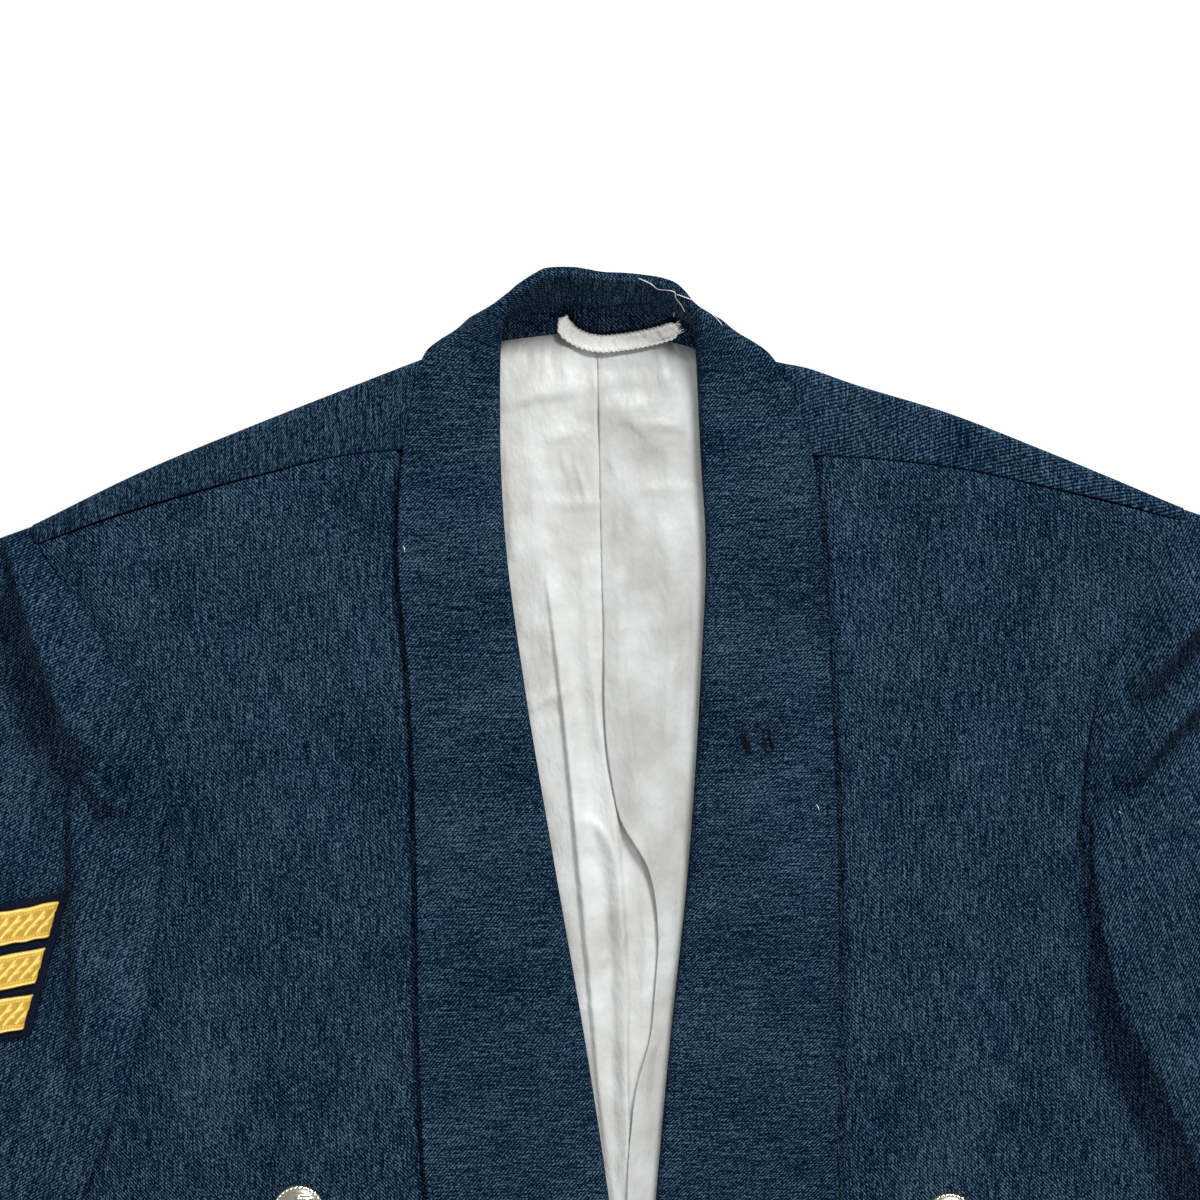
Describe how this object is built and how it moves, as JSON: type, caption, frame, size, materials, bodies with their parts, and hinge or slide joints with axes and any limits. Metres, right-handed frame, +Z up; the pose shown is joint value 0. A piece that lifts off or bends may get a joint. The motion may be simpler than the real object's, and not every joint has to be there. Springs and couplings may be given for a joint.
{
  "type": "mess jacket",
  "caption": "Short mess jacket laid flat on its back, with a wide shawl collar, set-in sleeves, domed buttons, gold lace chevrons and a white satin lining.",
  "frame": {"origin": "bottom centre of the jacket's box, on the surface that it lies on", "axes": "+X towards the wearer's left sleeve, +Y towards the collar, +Z up, away from the surface"},
  "size_m": [0.833, 0.676, 0.0272],
  "materials": {
    "back_wool": "blue-grey wool twill",
    "facing_wool": "blue-grey wool twill",
    "button_left_1_metal": "polished, pale gold",
    "button_left_2_metal": "polished, pale gold",
    "button_left_3_metal": "polished, pale gold",
    "button_right_1_metal": "polished, pale gold",
    "button_right_2_metal": "polished, pale gold",
    "button_right_3_metal": "polished, pale gold",
    "navy_felt": "navy felt",
    "gold_lace_1": "woven gold lace",
    "gold_lace_2": "woven gold lace",
    "gold_lace_3": "woven gold lace",
    "front_left_wool": "blue-grey wool twill",
    "front_right_wool": "blue-grey wool twill",
    "hanger_tape": "white woven tape",
    "left_satin": "white satin",
    "right_satin": "white satin",
    "dark_thread_1": "twisted thread",
    "dark_thread_2": "twisted thread",
    "collar_wool": "blue-grey wool twill",
    "sleeve_left_wool": "blue-grey wool twill",
    "sleeve_right_wool": "blue-grey wool twill"
  },
  "bodies": {
    "root": {"back": "back_wool", "back_neck_facing": "facing_wool", "button_left_1": "button_left_1_metal", "button_left_2": "button_left_2_metal", "button_left_3": "button_left_3_metal", "button_right_1": "button_right_1_metal", "button_right_2": "button_right_2_metal", "button_right_3": "button_right_3_metal", "chevron_backing": "navy_felt", "chevron_bar_1": "gold_lace_1", "chevron_bar_2": "gold_lace_2", "chevron_bar_3": "gold_lace_3", "front_left": "front_left_wool", "front_right": "front_right_wool", "hanger_loop": "hanger_tape", "lining_left": "left_satin", "lining_right": "right_satin", "medal_loop_1": "dark_thread_1", "medal_loop_2": "dark_thread_2", "shawl_collar": "collar_wool", "sleeve_left": "sleeve_left_wool", "sleeve_right": "sleeve_right_wool"}
  },
  "joints": []
}
